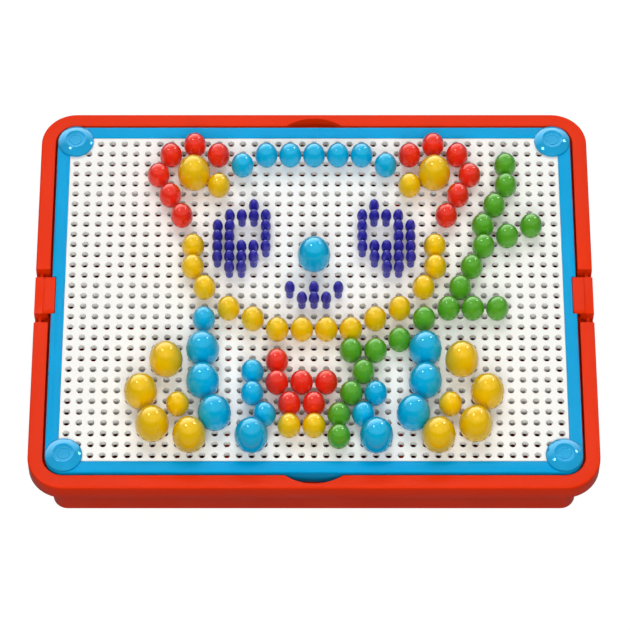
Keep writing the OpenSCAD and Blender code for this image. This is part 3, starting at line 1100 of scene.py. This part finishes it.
PEG_SIZES = (
    PegSize("large", head=8.15 * MM, top=21.3 * MM, widest=9.0 * MM, under=3.8 * MM,
            under_radius=7.0 * MM, collar=2.4 * MM, sides=40, rings=20),
    PegSize("medium", head=5.65 * MM, top=15.6 * MM, widest=7.6 * MM, under=3.6 * MM,
            under_radius=4.7 * MM, collar=2.4 * MM, sides=32, rings=16),
    PegSize("small", head=2.65 * MM, top=12.6 * MM, widest=6.7 * MM, under=4.9 * MM,
            under_radius=2.0 * MM, collar=1.95 * MM, sides=20, rings=12),
)


@dataclass
class PegPicture:
    """All the pegs of the picture, one piece for each group and size. Sizes are in metres.

    Attributes:
        pitch: The distance between holes.
        board_top: The height of the board's top.
        shaft: The radius of a shaft.
        reach: How far a shaft reaches below the board's top.
        tip: The length of the taper at its end.
        tip_share: The radius of the tip's end, as a share of the shaft's.
        end_band: The height above a shaft's end that tells its points, in tip lengths.
        crown_band: The depth below a head's highest point that tells its crown.
        collar_gap: The height of the collar above the board.
        collar_edge: The height over which the shaft widens to the collar.
        buried: How far the collar reaches into the head.
        fewest_sides: The fewest sides of a stem's round.
        lean: The most that a peg leans by chance, in radians.
        seed: What the chance starts from.
        trees: The node trees made so far, by the size's name.
    """

    pitch: float
    board_top: float
    shaft: float = 1.4 * MM
    reach: float = 6.8 * MM
    tip: float = 0.8 * MM
    tip_share: float = 0.7
    end_band: float = 1.5
    crown_band: float = 0.02 * MM
    collar_gap: float = 0.15 * MM
    collar_edge: float = 0.01 * MM
    buried: float = 0.3 * MM
    fewest_sides: int = 12
    lean: float = 0.004
    seed: int = 7
    trees: dict[str, bpy.types.GeometryNodeTree] = field(default_factory=dict)

    def places(self, node: str) -> dict[PegSize, list[tuple[Point, Point]]]:
        """Finds where the pegs of a CAD node stand, how large each is and how it leans.

        Args:
            node: The CAD node that holds the group.

        Returns:
            By size, the places on the board's top and the turns that make the pegs lean.
        """
        points = np.array([v.co for v in frame["nodes"][node].data.vertices])
        points[:, 2] -= self.board_top
        homes = np.rint(points[:, :2] / self.pitch).astype(int)
        ends = points[:, 2] < -self.reach + self.end_band * self.tip
        found: dict[PegSize, list[tuple[Point, Point]]] = {}
        for home in sorted({tuple(int(part) for part in pair) for pair in homes[ends]}):
            column, row = home[0] * self.pitch, home[1] * self.pitch
            own = points[np.hypot(points[:, 0] - column, points[:, 1] - row) < self.shaft]
            size = min(PEG_SIZES, key=lambda one: abs(one.top - own[:, 2].max()))
            crown = own[own[:, 2] > own[:, 2].max() - self.crown_band].mean(axis=0)
            lean_x, lean_y = (crown[0] - column) / crown[2], (crown[1] - row) / crown[2]
            found.setdefault(size, []).append(((column, row, self.board_top), (-lean_y, lean_x, 0.0)))
        return found

    def peg_tree(self, size: PegSize) -> bpy.types.GeometryNodeTree:
        """Makes the node tree that stands a peg on every point.

        Args:
            size: The pegs' size, which gives the fineness of their rounds.

        Returns:
            The tree.
        """
        numbers = ("Head Radius", "Head Top", "Widest", "Underside", "Head Drop", "Collar Radius",
                   "Collar Gap", "Collar Edge", "Collar in Head", "Shaft Radius", "Shaft Reach",
                   "Tip Length", "Tip Share", "Lean")
        tree = new_tree(f"{size.name} pegs",
                        {**dict.fromkeys(numbers, "Float"), "Seed": "Int", "Finish": "Material"})
        nodes = Nodes(tree)
        given = nodes.add("NodeGroupInput").outputs
        parts = (self.head(nodes, given, size), self.stem(nodes, given, size))
        whole = nodes.add("GeometryNodeJoinGeometry")
        for part in parts:
            tree.links.new(part, whole.inputs["Geometry"])
        peg = self.with_place(nodes, given, whole.outputs["Geometry"])
        stood = nodes.add("GeometryNodeInstanceOnPoints", Points=given["Geometry"], Instance=peg,
                          Rotation=self.turn(nodes, given))
        real = nodes.add("GeometryNodeRealizeInstances", Geometry=stood.outputs["Instances"])
        finished = nodes.add("GeometryNodeSetMaterial", Geometry=real.outputs["Geometry"],
                             Material=given["Finish"])
        nodes.add("NodeGroupOutput", Geometry=finished.outputs["Geometry"])
        return tree

    def with_place(self, nodes: Nodes, given: bpy.types.NodeOutputs, peg: Socket) -> Socket:
        """Stores each point's place on its own peg, for the finish.

        Args:
            nodes: The tree's nodes.
            given: The tree's inputs.
            peg: The peg's geometry.

        Returns:
            The geometry with the places, which count from the head's widest round.
        """
        here = nodes.add("GeometryNodeInputPosition").outputs["Position"]
        down = nodes.combined(Z=nodes.math("MULTIPLY", given["Widest"], -1.0))
        store = nodes.add("GeometryNodeStoreNamedAttribute", Geometry=peg, Name=PEG_PLACE)
        store.data_type = "FLOAT_VECTOR"
        store.domain = "POINT"
        vector = next(socket for socket in store.inputs if socket.name == "Value" and socket.enabled)
        nodes.tree.links.new(nodes.vector("ADD", here, down), vector)
        return store.outputs["Geometry"]

    def turn(self, nodes: Nodes, given: bpy.types.NodeOutputs) -> Socket:
        """Adds a small turn by chance to a point's own.

        Args:
            nodes: The tree's nodes.
            given: The tree's inputs.

        Returns:
            The turn about each axis.
        """
        own = nodes.add("GeometryNodeInputNamedAttribute", Name=PEG_LEAN)
        own.data_type = "FLOAT_VECTOR"
        most = nodes.combined(X=given["Lean"], Y=given["Lean"])
        least = nodes.vector("MULTIPLY", most, (-1.0, -1.0, -1.0))
        chance = nodes.add("FunctionNodeRandomValue", Seed=given["Seed"])
        chance.data_type = "FLOAT_VECTOR"
        nodes.feed(chance, 0, least)
        nodes.feed(chance, 1, most)
        return nodes.vector("ADD", own.outputs[0], chance.outputs[0])

    def head(self, nodes: Nodes, given: bpy.types.NodeOutputs, size: PegSize) -> Socket:
        """Shapes the egg-shaped head, flat underneath.

        Args:
            nodes: The tree's nodes.
            given: The tree's inputs.
            size: The peg's size, for its sides and rings.

        Returns:
            The head's geometry.
        """
        ball = nodes.add("GeometryNodeMeshUVSphere", Segments=size.sides, Rings=size.rings, Radius=1.0)
        axes = nodes.axes(nodes.add("GeometryNodeInputPosition").outputs["Position"])
        rise = nodes.math("SUBTRACT", given["Head Top"], given["Widest"])
        upper = nodes.math("MULTIPLY", nodes.math("MAXIMUM", axes["Z"], 0.0), rise)
        lower = nodes.math("MULTIPLY", nodes.math("MINIMUM", axes["Z"], 0.0), given["Head Drop"])
        height = nodes.math("ADD", nodes.math("ADD", upper, lower), given["Widest"])
        return self.moved(nodes, ball, axes, given["Head Radius"],
                          nodes.math("MAXIMUM", height, given["Underside"]))

    def stem(self, nodes: Nodes, given: bpy.types.NodeOutputs, size: PegSize) -> Socket:
        """Shapes the collar, the shaft and its tapered tip, as one skin from top to tip.

        Args:
            nodes: The tree's nodes.
            given: The tree's inputs.
            size: The peg's size, for its sides.

        Returns:
            The stem's geometry.
        """
        low = nodes.math("MULTIPLY", given["Shaft Reach"], -1.0)
        top = nodes.math("ADD", given["Underside"], given["Collar in Head"])
        levels = (
            (nodes.math("MULTIPLY", given["Shaft Radius"], given["Tip Share"]), low),
            (given["Shaft Radius"], nodes.math("ADD", low, given["Tip Length"])),
            (given["Shaft Radius"], given["Collar Gap"]),
            (given["Collar Radius"], nodes.math("ADD", given["Collar Gap"], given["Collar Edge"])),
            (given["Collar Radius"], nodes.math("MULTIPLY", top, 0.5)),
            (given["Collar Radius"], top))
        steps = len(levels) - 1
        rod = nodes.add("GeometryNodeMeshCylinder", Vertices=max(self.fewest_sides, size.sides // 2),
                        Side_Segments=steps, Radius=1.0, Depth=1.0)
        axes = nodes.axes(nodes.add("GeometryNodeInputPosition").outputs["Position"])
        level = nodes.math("ROUND", nodes.math("MULTIPLY", nodes.math("ADD", axes["Z"], 0.5), float(steps)))
        radius, height = (self.by_level(nodes, level, values) for values in zip(*levels))
        return self.moved(nodes, rod, axes, radius, height)

    def moved(self, nodes: Nodes, shape: bpy.types.Node, axes: bpy.types.NodeOutputs, radius: Socket,
              height: Socket) -> Socket:
        """Gives the points of a plain round shape their own radius and height.

        Args:
            nodes: The tree's nodes.
            shape: The node that makes the shape, with a radius of 1.
            axes: The X, Y and Z of its points.
            radius: What radius 1 becomes.
            height: The height of each point.

        Returns:
            The shaped geometry.
        """
        place = nodes.combined(X=nodes.math("MULTIPLY", axes["X"], radius),
                               Y=nodes.math("MULTIPLY", axes["Y"], radius), Z=height)
        shaped = nodes.add("GeometryNodeSetPosition", Geometry=shape.outputs["Mesh"], Position=place)
        return shaped.outputs["Geometry"]

    def by_level(self, nodes: Nodes, level: Socket, values: Sequence[Socket]) -> Socket:
        """Picks the value that belongs to a point's level.

        Args:
            nodes: The tree's nodes.
            level: The point's level, counted from the lowest.
            values: The value of each level.

        Returns:
            The value.
        """
        total: Socket | float = 0.0
        for index, value in enumerate(values):
            here = nodes.math("COMPARE", level, float(index), 0.5)
            total = nodes.math("ADD", total, nodes.math("MULTIPLY", here, value))
        return total

    def group(self, node: str, size: PegSize, stands: Sequence[tuple[Point, Point]],
              finish: PegPlastic, seed: int) -> bpy.types.Object:
        """Stands the pegs of one group and size.

        Args:
            node: The group's CAD node.
            size: The pegs' size.
            stands: Their places and the turns that make them lean.
            finish: What they are made of.
            seed: What the chance of this group starts from.

        Returns:
            The piece, a plain mesh.
        """
        mesh = bpy.data.meshes.new(node)
        mesh.from_pydata([place for place, _ in stands], [], [])
        leans = mesh.attributes.new(PEG_LEAN, "FLOAT_VECTOR", "POINT")
        leans.data.foreach_set("vector", [part for _, turn in stands for part in turn])
        piece = add_object(f"{node}_{size.name}", mesh)
        layer = piece.modifiers.new("pegs", "NODES")
        if size.name not in self.trees:
            self.trees[size.name] = self.peg_tree(size)
        layer.node_group = self.trees[size.name]
        set_inputs(layer, {
            "Head Radius": size.head, "Head Top": size.top, "Widest": size.widest,
            "Underside": size.under, "Head Drop": size.drop, "Collar Radius": size.collar,
            "Collar Gap": self.collar_gap, "Collar Edge": self.collar_edge,
            "Collar in Head": self.buried, "Shaft Radius": self.shaft, "Shaft Reach": self.reach,
            "Tip Length": self.tip, "Tip Share": self.tip_share, "Lean": self.lean, "Seed": seed,
            "Finish": finish.material()})
        settle(piece)
        soften(piece.data, PEG_CREASE)
        return piece

    def build(self) -> int:
        """Builds every group of pegs.

        Returns:
            The number of pieces made.
        """
        slots = {part["node"]: Slot(part["material_slot"]) for part in frame["record"]["subparts"]}
        groups = [node for node in sorted(frame["nodes"]) if node.startswith("peg") and node != "peg_board"]
        count = 0
        for number, node in enumerate(groups):
            finish = PEG_FINISHES[slots[node]]
            for size, stands in self.places(node).items():
                piece = self.group(node, size, stands, finish, self.seed + number)
                dress(piece, finish, node, node)
                count += 1
        return count


@dataclass(frozen=True)
class Lamp:
    """A soft lamp aimed at the board, round where it has no height of its own.

    Attributes:
        name: The lamp's name.
        azimuth: Its direction in degrees, from the back (+Y) towards the right (+X).
        elevation: Its height above the horizon, in degrees.
        distance: Its distance from the target, in metres.
        width: Its diameter or width, in metres.
        power: Its power, in watts.
        height: The height of a lamp with corners, in metres.
        lights: Whether it lights the surfaces themselves.
        mirrored: Whether it shows in glossy surfaces.
    """

    name: str
    azimuth: float
    elevation: float
    distance: float
    width: float
    power: float
    height: float = 0.0
    lights: bool = True
    mirrored: bool = True

    def hang(self, target: Point) -> None:
        """Adds the lamp to the scene.

        Args:
            target: The point that it is aimed at.
        """
        data = bpy.data.lights.new(self.name, "AREA")
        data.shape = "RECTANGLE" if self.height else "DISK"
        data.size = self.width
        data.size_y = self.height or self.width
        data.energy = self.power
        turn, lift = math.radians(self.azimuth), math.radians(self.elevation)
        offset = Vector((math.sin(turn) * math.cos(lift), math.cos(turn) * math.cos(lift), math.sin(lift)))
        lamp = bpy.data.objects.new(self.name, data)
        lamp.location = Vector(target) + offset * self.distance
        lamp.rotation_euler = (-offset).to_track_quat("-Z", "Y").to_euler()
        lamp.visible_diffuse = self.lights
        lamp.visible_glossy = self.mirrored
        bpy.context.scene.collection.objects.link(lamp)


LAMPS = (
    Lamp("left glint", azimuth=-92, elevation=62, distance=1.2, width=0.2, power=3.0, lights=False),
    Lamp("back glint", azimuth=55, elevation=32, distance=1.3, width=0.2, power=3.0, lights=False),
    Lamp("top panel", azimuth=0, elevation=64, distance=1.6, width=1.2, height=1.0, power=12.0,
         mirrored=False),
    Lamp("front fill", azimuth=180, elevation=52, distance=2.6, width=1.7, power=53.0, mirrored=False),
)


@dataclass
class Studio:
    """The camera, the floor and the lights. Heights of a direction are the sines of its elevation.

    Attributes:
        target: The point that the camera looks at, in metres.
        elevation: The camera's height above the horizon, in degrees.
        distance: The camera's distance from the target, in metres.
        lens: The focal length, in millimetres.
        sensor: The sensor's width, in millimetres.
        clip: The nearest and farthest distance that the camera sees, in metres.
        ceiling: The light from above.
        horizon: The light from near the horizon.
        light_band: The heights between which one turns into the other.
        gleam: What glossy surfaces mirror from above.
        gleam_low: What they mirror from near the horizon.
        gleam_band: The heights between which one turns into the other.
        gleam_tilt: How much lower that band lies at the back than at the sides.
        panel: How much brighter they mirror the white panel at the back.
        panel_turn: The panel's direction, in degrees from the back towards the right.
        panel_band: How near its direction the panel begins and is full, as cosines.
        floor_size: The length of the floor's side, in metres.
        floor_tone: How pale the floor is where lamps light it.
        floor_glow: How much it shines of itself, so that it shows white.
        floor_gleam: The share of that shine that glossy surfaces mirror.
    """

    target: Point = (0.0005, -0.01121, 0.0405)
    elevation: float = 58.98
    distance: float = 1.80826
    lens: float = 209.58
    sensor: float = 36.0
    clip: Flat = (0.01, 50.0)
    ceiling: float = 0.22
    horizon: float = 0.2
    light_band: Flat = (0.32, 0.42)
    gleam: float = 0.95
    gleam_low: float = 0.08
    gleam_band: Flat = (0.08, 0.15)
    gleam_tilt: float = 0.3
    panel: float = 5.5
    panel_turn: float = -12.0
    panel_band: Flat = (0.35, 0.95)
    floor_size: float = 8.0
    floor_tone: float = 0.18
    floor_glow: float = 0.88
    floor_gleam: float = 0.15

    def camera(self) -> None:
        """Adds the camera and makes it the scene's own."""
        data = bpy.data.cameras.new("camera")
        data.lens = self.lens
        data.sensor_width = self.sensor
        data.clip_start, data.clip_end = self.clip
        eye = bpy.data.objects.new("camera", data)
        bpy.context.scene.collection.objects.link(eye)
        lift = math.radians(self.elevation)
        offset = Vector((0, -math.cos(lift), math.sin(lift))) * self.distance
        eye.location = Vector(self.target) + offset
        eye.rotation_euler = (-offset).to_track_quat("-Z", "Y").to_euler()
        bpy.context.scene.camera = eye

    def world(self) -> None:
        """Lights the scene from an even dome, with its own gleam for gloss and white for the camera."""
        world = bpy.data.worlds.new("studio")
        bpy.context.scene.world = world
        world.use_nodes = True
        nodes = Nodes(world.node_tree)
        axes = nodes.axes(nodes.add("ShaderNodeTexCoord").outputs["Generated"])
        light = nodes.span(axes["Z"], self.light_band, (self.horizon, self.ceiling))
        tipped = nodes.math("ADD", axes["Z"], nodes.math("MULTIPLY", axes["Y"], self.gleam_tilt))
        zone = nodes.span(tipped, self.gleam_band, (self.gleam_low, self.gleam))
        turn = math.radians(self.panel_turn)
        toward = nodes.math("ADD", nodes.math("MULTIPLY", axes["X"], math.sin(turn)),
                            nodes.math("MULTIPLY", axes["Y"], math.cos(turn)))
        gleam = nodes.math("ADD", zone, nodes.span(toward, self.panel_band, (0.0, self.panel)))
        seen = nodes.add("ShaderNodeLightPath").outputs
        strength = nodes.between(self.shown(nodes, seen),
                                 nodes.between(seen["Is Glossy Ray"], light, gleam), 1.0)
        ground = nodes.add("ShaderNodeBackground", Strength=strength)
        nodes.add("ShaderNodeOutputWorld", Surface=ground.outputs["Background"])

    def shown(self, nodes: Nodes, seen: bpy.types.NodeOutputs) -> Socket:
        """Returns one where the camera sees a surface, also through glass, and else nothing."""
        return nodes.math("MAXIMUM", seen["Is Camera Ray"], seen["Is Transmission Ray"])

    def floor(self) -> None:
        """Lays a plain pale floor that shows white where nothing shades it."""
        half = self.floor_size / 2
        mesh = bpy.data.meshes.new("floor")
        mesh.from_pydata([(-half, -half, 0), (half, -half, 0), (half, half, 0), (-half, half, 0)], [],
                         [(0, 1, 2, 3)])
        ground = add_object("floor", mesh)
        made = bpy.data.materials.new("pale floor")
        made.use_nodes = True
        nodes = Nodes(made.node_tree)
        seen = nodes.add("ShaderNodeLightPath").outputs
        shown = nodes.math("ADD", self.shown(nodes, seen),
                           nodes.math("MULTIPLY", seen["Is Glossy Ray"], self.floor_gleam))
        matt = nodes.add("ShaderNodeBsdfDiffuse", Color=(self.floor_tone,) * 3 + (1.0,))
        lit = nodes.add("ShaderNodeEmission", Color=(1.0, 1.0, 1.0, 1.0),
                        Strength=nodes.math("MULTIPLY", shown, self.floor_glow))
        both = nodes.add("ShaderNodeAddShader")
        nodes.feed(both, 0, matt.outputs["BSDF"])
        nodes.feed(both, 1, lit.outputs["Emission"])
        nodes.add("ShaderNodeOutputMaterial", Surface=both.outputs["Shader"])
        mesh.materials.append(made)

    def build(self) -> None:
        """Sets up the whole studio."""
        self.camera()
        self.world()
        self.floor()
        for lamp in LAMPS:
            lamp.hang(self.target)
        settings = bpy.context.scene.view_settings
        settings.view_transform = "Standard"


def main() -> None:
    """Builds the classes in order."""
    logging.basicConfig(level=logging.INFO, format="%(name)s: %(message)s")
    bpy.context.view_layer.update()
    Studio().build()
    dims = {mount["name"]: mount["dims"] for mount in frame["record"]["mounts"]}
    pitch = dims["peg_grid_cell"]["spacing_x_mm"] * MM
    hole = dims["spare_peg_hole"]
    board_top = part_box("peg_board")[1].z
    assemblies = [
        StorageTray(),
        *(SideLatch(side) for side in Side),
        BoardFrame(),
        PerforatedBoard(hole["r_mm"] * MM, pitch, hole["length_mm"] * MM),
        *(CornerButton(corner) for corner in Corner),
        PegPicture(pitch, board_top),
    ]
    for assembly in assemblies:
        count = assembly.build()
        LOG.info("%s: %d piece(s)", type(assembly).__name__, count)


if __name__ == "__main__":
    main()
